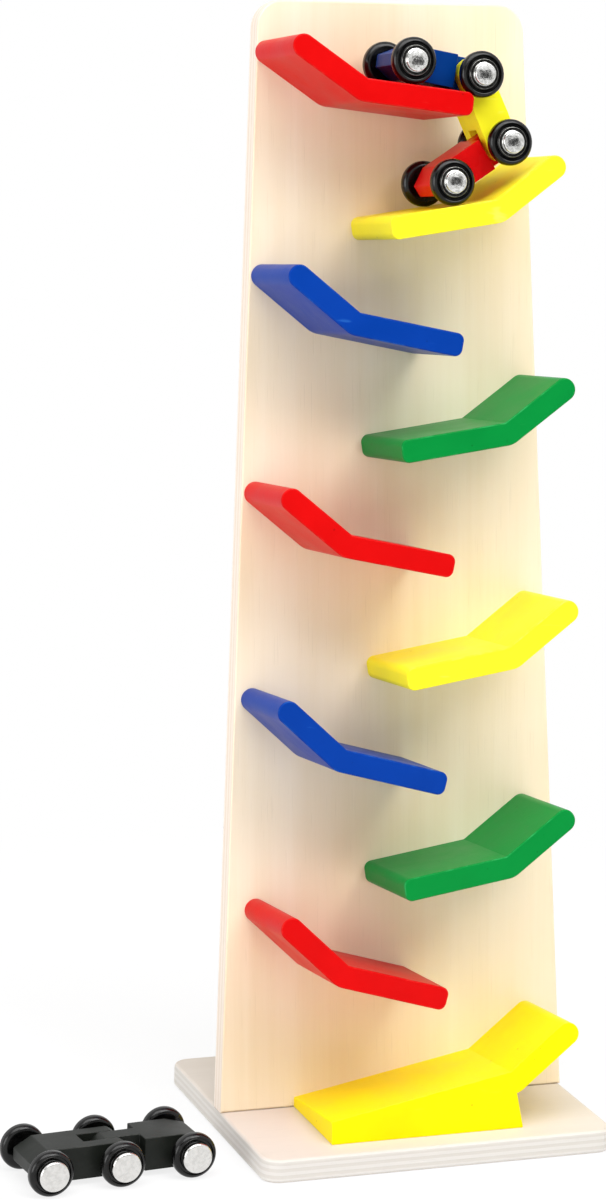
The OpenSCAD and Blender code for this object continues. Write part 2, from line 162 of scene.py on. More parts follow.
ft.links.new(floor_light.outputs[0], floor_mix.inputs[2])
floor_side, floor_both = ft.nodes.new("ShaderNodeNewGeometry"), ft.nodes.new("ShaderNodeMixShader")
ft.links.new(floor_side.outputs["Backfacing"], floor_both.inputs[0])
ft.links.new(floor_mix.outputs[0], floor_both.inputs[1])
ft.links.new(ft.nodes.new("ShaderNodeBsdfTransparent").outputs[0], floor_both.inputs[2])
ft.links.new(floor_both.outputs[0], floor_out.inputs["Surface"])
floor.data.materials.append(floor_paint)

# The two cards stand upright. Each has its width, its height, its middle and its turn from the x axis.
cards = {"front_card": (1.3, 0.8, Vector((0.93, -2.42, 0.9)), radians(14)),
         "left_card": (1.5, 1.0, Vector((-1.8, -1.8, 1.8)), radians(-45))}
card_tone, card_rough = 0.02, 0.9
card_paint = bpy.data.materials.new("dark card")
card_paint.use_nodes = True
card_shader = card_paint.node_tree.nodes["Principled BSDF"]
card_shader.inputs["Base Color"].default_value = (card_tone, card_tone, card_tone, 1)
card_shader.inputs["Roughness"].default_value = card_rough
for name, (wide, high, middle, yaw) in cards.items():
    card_way = Vector((cos(yaw), sin(yaw), 0))
    card = grid_mesh(name, [middle + card_way * a * wide / 2 + Vector((0, 0, b * high / 2))
                            for a, b in corner_signs], [(0, 1, 2, 3)])
    card.visible_camera = card.visible_diffuse = card.visible_shadow = False
    card.data.materials.append(card_paint)

# Base plate
# A thick rectangle of birch plywood with rounded corners and eased edges, under a thin white wash,
# so its plies still show along the sides. Three countersunk screws go up through it into the board.
base_w, base_d, base_t = 197 * mm, 168.7 * mm, 12.6 * mm
base_corner_r, base_edge_r = 10 * mm, 2 * mm
screw_head_d, screw_d, screw_head_h = 7 * mm, 3.5 * mm, 2.6 * mm
screw_gap, screw_overrun, screw_hole_deep = 0.12 * mm, 1 * mm, 14 * mm
smooth_below = radians(25)


def filleted(corners, radii, steps=10):
    """A closed outline: each corner becomes an arc of its own radius that touches both sides there.

    With the unit directions a and b to the neighbours and the angle w between them, the arc starts
    radius / tan(w / 2) along a, ends as far along b, and its centre lies radius / sin(w / 2) along a + b.
    """
    p = np.asarray(corners, float)
    r = np.broadcast_to(np.asarray(radii, float), len(p))[:, None]
    a, b = np.roll(p, 1, 0) - p, np.roll(p, -1, 0) - p
    a, b = a / np.linalg.norm(a, axis=1, keepdims=True), b / np.linalg.norm(b, axis=1, keepdims=True)
    w = np.arccos(np.clip((a * b).sum(1), -1, 1))[:, None]
    middle = (a + b) / np.linalg.norm(a + b, axis=1, keepdims=True)
    centre = p + middle * r / np.sin(w / 2)
    start, end = p + a * r / np.tan(w / 2) - centre, p + b * r / np.tan(w / 2) - centre
    sweep = (pi - w)[:, :, None]
    t = np.linspace(0, 1, steps)[None, :, None]
    arc = (np.sin((1 - t) * sweep) * start[:, None] + np.sin(t * sweep) * end[:, None]) / np.sin(sweep)
    return (centre[:, None] + arc).reshape(-1, 2)


def slab_faces(n):
    """The faces of a slab: ring 0..n-1 is one flat side, ring n..2n-1 the other, and quads join the rings."""
    i = np.arange(n)
    j = (i + 1) % n
    sides = np.stack([i, j, j + n, i + n], 1).tolist()
    return [list(range(n))[::-1], list(range(n, 2 * n))] + sides


def face_out(obj):
    """Turns every face of a closed piece outwards."""
    work = bmesh.new()
    work.from_mesh(obj.data)
    bmesh.ops.recalc_face_normals(work, faces=work.faces)
    work.to_mesh(obj.data)
    work.free()


def finish(obj, ease, steps=4, weights=None):
    """Rounds the sharp edges, or those with a weight, over the width given, and bakes that in."""
    face_out(obj)
    bevel = obj.modifiers.new("eased edges", "BEVEL")
    bevel.width, bevel.segments, bevel.use_clamp_overlap = ease, steps, False
    if weights is None:
        bevel.limit_method, bevel.angle_limit = "ANGLE", smooth_below
    else:
        bevel.limit_method = "WEIGHT"
        attribute = obj.data.attributes.new("bevel_weight_edge", "FLOAT", "EDGE")
        attribute.data.foreach_set("value", np.asarray(weights, float))
    bake(obj)


def bake(obj):
    """Replaces the piece's mesh by what its modifiers make of it, with smooth faces and weighted normals."""
    for last in (False, True):
        if last:
            obj.modifiers.new("face weighted", "WEIGHTED_NORMAL").keep_sharp = True
        shown = obj.evaluated_get(bpy.context.evaluated_depsgraph_get())
        mesh = bpy.data.meshes.new_from_object(shown)
        obj.modifiers.clear()
        old, obj.data = obj.data, mesh
        bpy.data.meshes.remove(old)
        mesh.name = obj.name
        if not last:
            mesh.polygons.foreach_set("use_smooth", np.ones(len(mesh.polygons), bool))
            mesh.set_sharp_from_angle(angle=smooth_below)


def edge_ends(obj):
    """The two corner numbers of each edge, as one array."""
    ends = np.zeros(len(obj.data.edges) * 2, int)
    obj.data.edges.foreach_get("vertices", ends)
    return ends.reshape(-1, 2)


def cut_countersinks(obj, heads, ways):
    """Cuts a conical seat and a shank hole into the piece for every screw head, with a hair of room.

    The cutter is a profile of radii and depths carried round each screw's own line.
    """
    rise = (screw_head_d - screw_d) / 2 / screw_head_h
    shank_r = screw_d / 2 + screw_gap
    radii = np.array([screw_head_d / 2 + screw_gap + rise * screw_overrun, shank_r, shank_r])
    depths = np.array([-screw_overrun, screw_head_h, screw_hole_deep])
    round_steps = 24
    angle = np.arange(round_steps) * 2 * pi / round_steps
    points, faces = [], []
    for head, way in zip(heads, ways):
        way = Vector(way).normalized()
        side = way.orthogonal().normalized()
        other = way.cross(side)
        ring = np.cos(angle)[:, None] * np.array(side) + np.sin(angle)[:, None] * np.array(other)
        first = sum(len(p) for p in points)
        body = np.array(head) + depths[:, None, None] * np.array(way) + radii[:, None, None] * ring
        points.append(body.reshape(-1, 3))
        k = np.arange(round_steps)
        for level_no in range(2):
            a = first + level_no * round_steps + k
            b = first + level_no * round_steps + (k + 1) % round_steps
            faces += np.stack([a, b, b + round_steps, a + round_steps], 1).tolist()
        faces += [(first + k)[::-1].tolist(), (first + 2 * round_steps + k).tolist()]
    cutter = grid_mesh("cutter", np.concatenate(points), faces)
    cut = obj.modifiers.new("countersinks", "BOOLEAN")
    cut.object, cut.operation, cut.solver = cutter, "DIFFERENCE", "EXACT"
    bake(obj)
    bpy.data.objects.remove(cutter)


def nodes_of(material):
    """Clears the material and returns a maker of nodes, a maker of links, and the shader that it shows."""
    material.use_nodes = True
    tree = material.node_tree
    tree.nodes.clear()
    out, shader = tree.nodes.new("ShaderNodeOutputMaterial"), tree.nodes.new("ShaderNodeBsdfPrincipled")
    tree.links.new(shader.outputs[0], out.inputs["Surface"])

    def make(kind, operation=None, **values):
        """A node with its sockets set or linked: i1 stands for socket number 1, other words for its name."""
        new = tree.nodes.new("ShaderNode" + kind)
        if operation:
            new.operation = operation
        for key, value in values.items():
            numbered = key[0] == "i" and key[1:].isdigit()
            socket = new.inputs[int(key[1:])] if numbered else new.inputs[key.replace("_", " ")]
            if hasattr(value, "is_linked"):
                tree.links.new(value, socket)
            else:
                socket.default_value = value
        return new

    return make, tree.links.new, shader


def ramp_between(make, factor, low, high, stops=(0.0, 1.0)):
    """Blends two colours as the factor goes from the first stop to the second."""
    band = make("ValToRGB", Fac=factor)
    band.color_ramp.elements[0].position, band.color_ramp.elements[1].position = stops
    band.color_ramp.elements[0].color, band.color_ramp.elements[1].color = (*low, 1), (*high, 1)
    return band.outputs["Color"]


def mixed(make, factor, first, second):
    """Mixes two colours by the factor."""
    mix = make("Mix")
    mix.data_type = "RGBA"
    for number, value in ((0, factor), (6, first), (7, second)):
        if hasattr(value, "is_linked"):
            mix.id_data.links.new(value, mix.inputs[number])
        else:
            mix.inputs[number].default_value = (*value, 1)
    return mix.outputs[2]


def noise(make, where, scale, **more):
    """Soft noise over the surface, about 0.2 to 0.8."""
    return make("TexNoise", Vector=where, Scale=scale, **more).outputs[0]


def maths(make, operation, *values, clamp=False):
    """The result of one sum on values or links, kept within 0 to 1 if clamped."""
    node = make("Math", operation, **{"i%d" % n: value for n, value in enumerate(values)})
    node.use_clamp = clamp
    return node.outputs[0]


def spread(make, value, low, high, to_low=0.0, to_high=1.0):
    """Lays the range low to high of a value over another range, and stops at its ends."""
    return make("MapRange", Value=value, i1=low, i2=high, i3=to_low, i4=to_high).outputs[0]


def moved(make, vector, **values):
    """A place or direction that is turned or stretched."""
    return make("Mapping", Vector=vector, **values).outputs[0]


def linear(r, g, b):
    """Turns a screen colour, 0 to 255 a channel, into the linear colour that a shader takes."""
    c = np.array([r, g, b]) / 255
    return tuple(float(v) for v in np.where(c < 0.04045, c / 12.92, ((c + 0.055) / 1.055) ** 2.4))


def plywood(name, face_light, face_dark, edge_light, edge_dark, along, lean, ply, rough, pore_mark,
            glue_mark):
    """Veneered plywood: fibres and pores run along one axis, and the plies show on the narrow sides.

    Fibres are noise drawn out along the grain, a broad slow noise varies the tone, and the sides take
    bands across the thickness, one band for each ply, wherever the surface doesn't face front or back.
    """
    material = bpy.data.materials.new(name)
    make, link, shader = nodes_of(material)
    across_scale, along_scale = 260, {"x": 9, "z": 7}[along]
    stretch = tuple(along_scale if axis == along else across_scale for axis in "xyz")
    broad_stretch, pore_stretch, end_scale = 0.16, 2.4, (420, 420, 420)
    broad_share, fine_share, cloud_share, tone_stops = 0.55, 0.15, 0.75, (0.44, 1.02)
    pore_shade, glue_shade, wander_share, end_share, relief_share = 0.55, 0.6, 0.25, 0.5, -0.8
    where = make("TexCoord")
    flat = moved(make, where.outputs["Object"], Rotation=(lean, 0, 0))
    facing = moved(make, where.outputs["Normal"], Rotation=(lean, 0, 0))
    fine = noise(make, moved(make, flat, Scale=stretch), 1.6, Detail=5, Roughness=0.62, Distortion=0.25)
    broad = noise(make, moved(make, flat, Scale=tuple(s * broad_stretch for s in stretch)), 1.0,
                  Detail=3, Roughness=0.5, Distortion=0.8)
    cloud = noise(make, flat, 9.0, Detail=2, Roughness=0.45, Distortion=0.3)
    pores = noise(make, moved(make, flat, Scale=tuple(s * pore_stretch for s in stretch)), 2.2,
                  Detail=1, Roughness=0.5, Distortion=0.0)
    pore = spread(make, pores, 0.66, 0.74)
    tone = maths(make, "MULTIPLY", broad, broad_share)
    tone = maths(make, "MULTIPLY_ADD", fine, fine_share, tone)
    tone = maths(make, "MULTIPLY_ADD", cloud, cloud_share, tone)
    face = ramp_between(make, tone, face_dark, face_light, tone_stops)
    face = mixed(make, maths(make, "MULTIPLY", pore, pore_mark), face,
                 tuple(c * pore_shade for c in face_dark))
    thick_axis = "Z" if along == "x" else "Y"
    across = make("SeparateXYZ", Vector=flat).outputs[thick_axis]
    wander = maths(make, "MULTIPLY_ADD", fine, wander_share * ply, across)
    saw = maths(make, "PINGPONG", maths(make, "MULTIPLY", wander, 1 / ply), 1.0)
    end_noise = noise(make, moved(make, flat, Scale=end_scale), 1.0, Detail=3, Roughness=0.6)
    end_tone = maths(make, "MULTIPLY_ADD", end_noise, end_share, -end_share / 2)
    end = maths(make, "ADD", spread(make, saw, 0.42, 0.58), end_tone, clamp=True)
    edge = ramp_between(make, end, edge_dark, edge_light)
    glue = spread(make, maths(make, "ABSOLUTE", maths(make, "SUBTRACT", saw, 0.5)), 0.07, 0.02)
    edge = mixed(make, maths(make, "MULTIPLY", glue, glue_mark), edge,
                 tuple(c * glue_shade for c in edge_dark))
    straight = maths(make, "ABSOLUTE", make("SeparateXYZ", Vector=facing).outputs[thick_axis])
    is_edge = spread(make, straight, 0.75, 0.45)
    link(mixed(make, is_edge, face, edge), shader.inputs["Base Color"])
    link(spread(make, fine, 0.3, 0.7, rough - 0.06, rough + 0.08), shader.inputs["Roughness"])
    relief = maths(make, "MULTIPLY_ADD", pore, relief_share, fine)
    relief = maths(make, "MULTIPLY_ADD", is_edge, end, relief)
    link(make("Bump", Strength=0.22, Distance=0.3 * mm, Height=relief).outputs[0], shader.inputs["Normal"])
    shader.inputs["Specular IOR Level"].default_value = 0.35
    return material


whitewashed = plywood("whitewashed_ply", linear(218, 209, 200), linear(207, 198, 187), linear(212, 208, 203),
                      linear(203, 198, 191), along="x", lean=0, ply=1.8 * mm, rough=0.55, pore_mark=0.1,
                      glue_mark=0.08)
plate_outline = filleted(np.array(corner_signs) * [base_w / 2, base_d / 2], base_corner_r, steps=14)
plate_count = len(plate_outline)
plate_points = np.concatenate([np.column_stack([plate_outline, np.zeros(plate_count)]),
                               np.column_stack([plate_outline, np.full(plate_count, base_t)])])
base_piece = grid_mesh("dressed_base_plate", plate_points, slab_faces(plate_count))
finish(base_piece, base_edge_r)

board_lean, front_y = radians(6.25), 76.8 * mm - base_d / 2
board_t, board_screw_len, board_screw_pitch, skew_share = 12.2 * mm, 38 * mm, 70 * mm, 0.5
base_screw_y = front_y + board_t / 2 + board_screw_len * skew_share * tan(board_lean) / 2
base_heads = [(a * board_screw_pitch, base_screw_y, 0) for a in (-1, 0, 1)]
cut_countersinks(base_piece, base_heads, [(0, 0, 1)] * 3)
base_piece.data.materials.append(whitewashed)
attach(base_piece, "tower")
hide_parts("base_plate")

# Back board
# A tapering birch plywood board that leans back, with rounded top corners and the grain upright.
# It is clear lacquered, and its own screws and those of the ramps are sunk into it from behind.
board_len, board_top_w, board_corner_r, board_edge_r = 587.4 * mm, 148.2 * mm, 14.5 * mm, 0.9 * mm
board_foot_r = 0.3 * mm


def on_board(points):
    """Points given across, out from the board's face and up it, in the frame of the whole toy.

    The board turns back about its lower front edge: y = front + behind * cos + height * sin, and
    z = base thickness - behind * sin + height * cos, where behind is minus the distance out.
    """
    p = np.asarray(points, float).reshape(-1, 3)
    behind, height = -p[:, 1], p[:, 2]
    return np.column_stack([p[:, 0], front_y + behind * cos(board_lean) + height * sin(board_lean),
                            base_t - behind * sin(board_lean) + height * cos(board_lean)])


def half_w(height):
    """Half the board's width at a height up it: it narrows evenly from the base's width to its top width."""
    return base_w / 2 - (base_w - board_top_w) / 2 * height / board_len


def board_ring(behind):
    """The board's outline at a distance behind its face, with its foot cut level where it meets the base."""
    foot = behind * tan(board_lean)
    ring = filleted([(-half_w(foot), foot), (half_w(foot), foot), (half_w(board_len), board_len),
                     (-half_w(board_len), board_len)],
                    [board_foot_r, board_foot_r, board_corner_r, board_corner_r], steps=12)
    return on_board(np.column_stack([ring[:, 0], np.full(len(ring), -behind), ring[:, 1]]))


front_ring, back_ring = board_ring(0), board_ring(board_t)
board_piece = grid_mesh("dressed_back_board", np.concatenate([back_ring, front_ring]),
                        slab_faces(len(front_ring)))
finish(board_piece, board_edge_r)
birch = plywood("birch_board", linear(250, 236, 213), linear(234, 212, 174), linear(238, 224, 210),
                linear(229, 212, 194), along="z", lean=board_lean, ply=2.03 * mm, rough=0.42,
                pore_mark=0.09, glue_mark=0.1)
board_piece.data.materials.append(birch)
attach(board_piece, "tower")
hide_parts("back_board")

# Ramps
# Bent bars of solid wood, round at the high end, with softened corners at the low end, painted in
# glossy red, yellow, blue and green. Each is screwed on from behind with two screws.
ramp_d, ramp_t, steep_len, shallow_len = 61 * mm, 12.2 * mm, 37 * mm, 58.8 * mm
bend_angle, low_end_share, ramp_edge_r, crease_r = radians(27.6), 0.33, 0.9 * mm, 0.5 * mm
full_round_share = 0.985
bend_height_shares = [0.927, 0.823, 0.725, 0.627, 0.531, 0.427, 0.342, 0.238, 0.149]
bend_side_shares = [0.471, 0.437, 0.496, 0.479, 0.523, 0.483, 0.534, 0.443, 0.497]
tilt_shares = [0.23, 0.315, 0.41, 0.295, 0.43, 0.33, 0.545, 0.32, 0.58]
steep_screw_share, shallow_screw_share = 0.55, 0.62
ramp_nodes = ["red_ramp_1", "yellow_ramp_2", "blue_ramp_3", "green_ramp_4", "red_ramp_5",
              "yellow_ramp_6", "blue_ramp_7", "green_ramp_8", "red_ramp_9"]


def ray(angle, far):
    """The point at a distance from the origin in a direction, as across and up."""
    return np.array([cos(angle), sin(angle)]) * far


def ramp_outline(low):
    """A bent bar seen from the front, high on the right: the bend of its upper side is at the origin.

    Both arms are ramp_t thick. The underside turns the bend on a circle about the origin, the high end
    is a full half circle, and the low end has two rounded corners.
    """
    high = low + bend_angle
    low_end, high_end = -ray(low, shallow_len), ray(high, steep_len + ramp_t / 2)
    under_low, under_high = ray(low - pi / 2, ramp_t), ray(high - pi / 2, ramp_t)
    bend_out = ray((low + high) / 2 - pi / 2, ramp_t / cos(bend_angle / 2))
    low_r, high_r = low_end_share * ramp_t, full_round_share * ramp_t / 2
    return filleted([(0, 0), low_end, low_end + under_low, bend_out, high_end + under_high, high_end],
                    [crease_r, low_r, low_r, ramp_t, high_r, high_r], steps=12)


def set_out(outline, out):
    """An outline seen from the front, as points at a distance out from the board's face."""
    return np.column_stack([outline[:, 0], np.full(len(outline), out), outline[:, 1]])


def screw_pair(low, side, across, up):
    """Where a ramp's two screws stand, across and up the board: one in the middle of each arm's thickness."""
    high = low + bend_angle
    spots = (ray(high, steep_len * steep_screw_share) + ray(high - pi / 2, ramp_t / 2),
             -ray(low, shallow_len * shallow_screw_share) + ray(low - pi / 2, ramp_t / 2))
    return [(across + side * x, up + y) for x, y in spots]


def bar_from(name, ring_at, colour, ease=ramp_edge_r):
    """A bar off the board: its outline at the board's face and at its front, with the front rim eased."""
    back, front = on_board(ring_at(0.0)), on_board(ring_at(ramp_d))
    n = len(back)
    piece = grid_mesh(name, np.concatenate([back, front]), slab_faces(n))
    weights = (edge_ends(piece) >= n).all(1)
    finish(piece, ease, weights=weights)
    piece.data.materials.append(colour)
    return piece


def painted(name, colour, worn, rough=0.34, coat=0.01, specular=0.07):
    """Gloss paint on wood: a slow change of tone, grain that shows faintly, fine scuffs and worn edges.

    Edges are where the surface's own direction lies between the board's and straight across it.
    """
    material = bpy.data.materials.new(name)
    make, link, shader = nodes_of(material)
    deep_share, scuff_share, scuff_dull, pit_share, pit_shade, pit_depth = 0.9, 0.36, 0.2, 0.5, 0.35, -1.5
    grain, scuff_turn, scuff_scale, edge_gain = (60, 60, 60), (0.3, 0.9, 0.5), (34, 420, 160), 1.5
    where = make("TexCoord")
    place = where.outputs["Object"]
    tone = noise(make, place, 26.0, Detail=3, Roughness=0.55)
    shade = ramp_between(make, tone, tuple(c * deep_share for c in colour), colour, (0.3, 0.62))
    streak = noise(make, moved(make, place, Scale=grain), 6.0, Detail=4, Roughness=0.6, Distortion=0.4)
    scuff = noise(make, moved(make, place, Rotation=scuff_turn, Scale=scuff_scale), 1.0,
                  Detail=2, Roughness=0.5, Distortion=0.6)
    scuffed = spread(make, scuff, 0.70, 0.78)
    shade = mixed(make, maths(make, "MULTIPLY", scuffed, scuff_share), shade, worn)
    pits = make("TexVoronoi", Vector=place, Scale=170.0, Randomness=1.0).outputs["Distance"]
    some = spread(make, noise(make, place, 75.0, Detail=0), 0.60, 0.64)
    pit = maths(make, "MULTIPLY", spread(make, pits, 0.13, 0.05), some)
    shade = mixed(make, maths(make, "MULTIPLY", pit, pit_share), shade, tuple(c * pit_shade for c in colour))
    facing = moved(make, where.outputs["Normal"], Rotation=(board_lean, 0, 0))
    out = make("SeparateXYZ", Vector=facing).outputs["Y"]
    square = maths(make, "MULTIPLY", out, out)
    rim = maths(make, "MULTIPLY", square, maths(make, "SUBTRACT", 1.0, square))
    rub = spread(make, noise(make, place, 120.0, Detail=4, Roughness=0.7), 0.5, 0.62)
    wear = maths(make, "MULTIPLY", maths(make, "MULTIPLY", rim, edge_gain), rub, clamp=True)
    link(mixed(make, wear, shade, worn), shader.inputs["Base Color"])
    gloss = spread(make, tone, 0.3, 0.7, rough - 0.05, rough + 0.08)
    link(maths(make, "MULTIPLY_ADD", scuffed, scuff_dull, gloss), shader.inputs["Roughness"])
    height = maths(make, "MULTIPLY_ADD", pit, pit_depth, streak)
    link(make("Bump", Strength=0.16, Distance=0.35 * mm, Height=height).outputs[0], shader.inputs["Normal"])
    shader.inputs["Specular IOR Level"].default_value = specular
    shader.inputs["Coat Weight"].default_value = coat
    shader.inputs["Coat Roughness"].default_value = 0.12
    return material


ramp_paints = {
    "red": painted("red_paint", linear(206, 3, 4), linear(232, 70, 60)),
    "yellow": painted("yellow_paint", linear(254, 240, 40), linear(255, 246, 120)),
    "blue": painted("blue_paint", linear(0, 55, 149), linear(46, 114, 194)),
    "green": painted("green_paint", linear(0, 132, 53), linear(74, 178, 114))}
deep_yellow = painted("deep_yellow_paint", linear(254, 229, 0), linear(255, 238, 60))
screw_spots = []
for i, node in enumerate(ramp_nodes):
    side = -1 if i % 2 == 0 else 1
    low = tilt_shares[i] * bend_angle
    bend_up = bend_height_shares[i] * board_len
    bend_across = side * bend_side_shares[i] * half_w(bend_up)
    outline = ramp_outline(low) * [side, 1] + [bend_across, bend_up]
    paint_word = node.split("_")[0]
    piece = bar_from("dressed_" + node, lambda out: set_out(outline, out), ramp_paints[paint_word])
    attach(piece, "tower")
    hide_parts(node)
    screw_spots += screw_pair(low, side, bend_across, bend_up)

# Bottom ramp
# The last ramp is a solid wedge that stands on the base, with one bent arm like the others above it.
# It is the same yellow, screwed on from behind.
bottom_bend_h, bottom_bend_x, bottom_tilt = 23.9 * mm, 44 * mm, radians(10.4)
bottom_reach, bottom_heel, bottom_nose_r, bottom_foot_r = 101 * mm, 1.4 * mm, 0.8 * mm, 0.5 * mm
inner_r, bend_share, bottom_edge_r = 0.25 * mm, 0.9, 0.4 * mm


def bottom_ring(out):
    """The wedge's points at a distance out from the board.

    Its foot follows the level base, so it drops outwards by the distance times tan(lean). Its heel starts
    where the arm's underside, a circle about the bend, is bottom_heel past the bend, and runs square to the
    long top down to the foot.
    """
    high = bottom_tilt + bend_angle
    foot = -out * tan(board_lean) - bottom_bend_h
    high_end, under_high = ray(high, steep_len + ramp_t / 2), ray(high - pi / 2, ramp_t)
    heel, down = ray(bottom_tilt, bottom_heel), bottom_tilt - pi / 2
    inner = heel + ray(down, np.sqrt(ramp_t ** 2 - bottom_heel ** 2))
    heel_foot = heel + ray(down, (heel[1] - foot) / cos(bottom_tilt))
    from_angle, to_angle = atan2(inner[1], inner[0]), high - pi / 2
    bend_out = ray((from_angle + to_angle) / 2, ramp_t / cos((to_angle - from_angle) / 2))
    ring = filleted([(0, 0), (-bottom_reach, -bottom_reach * tan(bottom_tilt)), (-bottom_reach, foot),
                     heel_foot, inner, bend_out, high_end + under_high, high_end],
                    [crease_r, bottom_nose_r, bottom_foot_r, bottom_foot_r, inner_r, bend_share * ramp_t,
                     full_round_share * ramp_t / 2, full_round_share * ramp_t / 2], steps=12)
    return set_out(ring + [bottom_bend_x, bottom_bend_h], out)


bottom_piece = bar_from("dressed_yellow_ramp_10", bottom_ring, deep_yellow, bottom_edge_r)
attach(bottom_piece, "tower")
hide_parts("yellow_ramp_10")
screw_spots += screw_pair(bottom_tilt, 1, bottom_bend_x, bottom_bend_h)

# Screws
# Zinc-plated countersunk wood screws with a cross recess: twenty hold the ramps from behind, and
# three hold the board from under the base. Their seats are cut into the board here.
heads = on_board([(x, -board_t, z) for x, z in screw_spots])
inward = (0, -cos(board_lean), sin(board_lean))
cut_countersinks(board_piece, heads, [inward] * len(heads))


def bare_metal(name, colour, rough):
    """Bare metal: roughness varies in soft patches, and fine scratches and hammering catch the light."""
    material = bpy.data.materials.new(name)
    make, link, shader = nodes_of(material)
    deep_share, dull, scratch_share, scratch_scale = 0.86, 0.12, 0.25, (900, 900, 4200)
    place = make("TexCoord").outputs["Object"]
    patch = noise(make, place, 260.0, Detail=3, Roughness=0.6)
    fine = noise(make, moved(make, place, Scale=scratch_scale), 1.0, Detail=2)
    link(spread(make, patch, 0.3, 0.7, rough, rough + dull), shader.inputs["Roughness"])
    link(ramp_between(make, patch, tuple(c * deep_share for c in colour), colour, (0.3, 0.6)),
         shader.inputs["Base Color"])
    height = maths(make, "MULTIPLY_ADD", fine, scratch_share, patch)
    link(make("Bump", Strength=0.35, Distance=0.12 * mm, Height=height).outputs[0], shader.inputs["Normal"])
    shader.inputs["Metallic"].default_value = 1.0
    return material


zinc = bare_metal("zinc_screws", linear(206, 208, 212), rough=0.28)


def dress_node(node, material):
    """Gives a CAD node that stays in view its own material."""
    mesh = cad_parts[node].data
    if len(mesh.materials) == 0:
        mesh.materials.append(material)
    for number in range(len(mesh.materials)):
        mesh.materials[number] = material


for node in ("ramp_screws", "board_screws"):
    dress_node(node, zinc)

# Wheels
# Glossy black turned wheels: rounded tyre shoulders, a groove in the outer face round the hub cap,
# and a boss on the inner side that keeps the wheel off its car. They are pressed onto the axle.
wheel_d, wheel_w, tyre_r, wheel_track, axle_d = 24 * mm, 7 * mm, 2.8 * mm, 42 * mm, 3.4 * mm
boss_d, boss_len, groove_d, groove_w, groove_deep = 8 * mm, 4 * mm, 16.2 * mm, 1.7 * mm, 1.4 * mm
hairline, lip_drop_share = 0.25 * mm, 0.3


def turned(name, profile, middle, out_way, closed=True, round_steps=96):
    """A turned piece: every point of the profile, a radius and a place along the axis, goes round the axis.

    point = middle + out_way * place + radius * (side * cos + other * sin). A closed profile joins its last
    point to its first. An open one starts and ends close to the axis, where a tiny disc closes it.
    """
    profile = np.asarray(profile, float)
    way = Vector(out_way).normalized()
    side = way.cross(Vector((1, 0, 0))).normalized()
    other = way.cross(side)
    angle = np.arange(round_steps) * 2 * pi / round_steps
    ring = np.cos(angle)[:, None] * np.array(side) + np.sin(angle)[:, None] * np.array(other)
    body = np.array(middle) + profile[:, 1, None, None] * np.array(way) + profile[:, 0, None, None] * ring
    n = len(profile)
    i = np.arange(n if closed else n - 1)
    j = (i + 1) % n
    k = np.arange(round_steps)
    m = (k + 1) % round_steps
    quads = np.stack(np.broadcast_arrays(i[:, None] * round_steps + k, i[:, None] * round_steps + m,
                                         j[:, None] * round_steps + m, j[:, None] * round_steps + k), 2)
    faces = quads.reshape(-1, 4).tolist()
    if not closed:
        faces += [k[::-1].tolist(), ((n - 1) * round_steps + k).tolist()]
    piece = grid_mesh(name, body, faces)
    face_out(piece)
    bake(piece)
    return piece


def wheel_profile():
    """The wheel's half section: boss, inner face, shoulder arc, tread, shoulder arc, then groove and hub."""
    edge, half, core = wheel_d / 2 - tyre_r, wheel_w / 2, axle_d / 2
    flat, arc_steps = half - tyre_r, 12
    sweep = np.linspace(0, pi / 2, arc_steps)
    inner = np.column_stack([edge + tyre_r * np.sin(sweep), -flat - tyre_r * np.cos(sweep)])
    lip_r = groove_d / 2 + groove_w
    lip_from = np.arcsin((lip_r + hairline - edge) / tyre_r)
    down = np.linspace(pi / 2, lip_from, arc_steps)
    outer = np.column_stack([edge + tyre_r * np.sin(down), flat + tyre_r * np.cos(down)])
    hub = groove_d / 2
    lip = outer[-1, 1] - lip_drop_share * hairline
    boss_r, boss_end, floor_at = boss_d / 2, -half - boss_len, half - groove_deep
    boss = [(core, boss_end), (boss_r - hairline, boss_end), (boss_r, boss_end + hairline),
            (boss_r, -half - hairline), (boss_r + hairline, -half)]
    face = [(lip_r, lip), (lip_r, floor_at + hairline), (lip_r - hairline, floor_at),
            (hub + hairline, floor_at), (hub, floor_at + hairline), (hub, half - hairline),
            (hub - hairline, half), (core, half)]
    return np.concatenate([boss, inner, outer, face])


def black_plastic(name):
    """Glossy black wheel: nearly black, a faint grey dust in patches, and turning marks."""
    material = bpy.data.materials.new(name)
    make, link, shader = nodes_of(material)
    turning_share = 0.3
    place = make("TexCoord").outputs["Object"]
    dust = noise(make, place, 150.0, Detail=4, Roughness=0.65)
    link(ramp_between(make, dust, linear(3, 3, 3), linear(17, 17, 16), (0.45, 0.8)),
         shader.inputs["Base Color"])
    link(spread(make, dust, 0.3, 0.75, 0.16, 0.3), shader.inputs["Roughness"])
    turning = noise(make, place, 1200.0, Detail=2)
    height = maths(make, "MULTIPLY_ADD", turning, turning_share, dust)
    link(make("Bump", Strength=0.12, Distance=0.2 * mm, Height=height).outputs[0], shader.inputs["Normal"])
    shader.inputs["Specular IOR Level"].default_value = 0.3
    shader.inputs["Coat Weight"].default_value = 0.1
    shader.inputs["Coat Roughness"].default_value = 0.1
    return material


wheel_black = black_plastic("black_wheel")


def centre_of(node):
    """The middle of a CAD node's box, as an array."""
    low_corner, high_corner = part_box(node)
    return np.array((low_corner + high_corner) / 2)


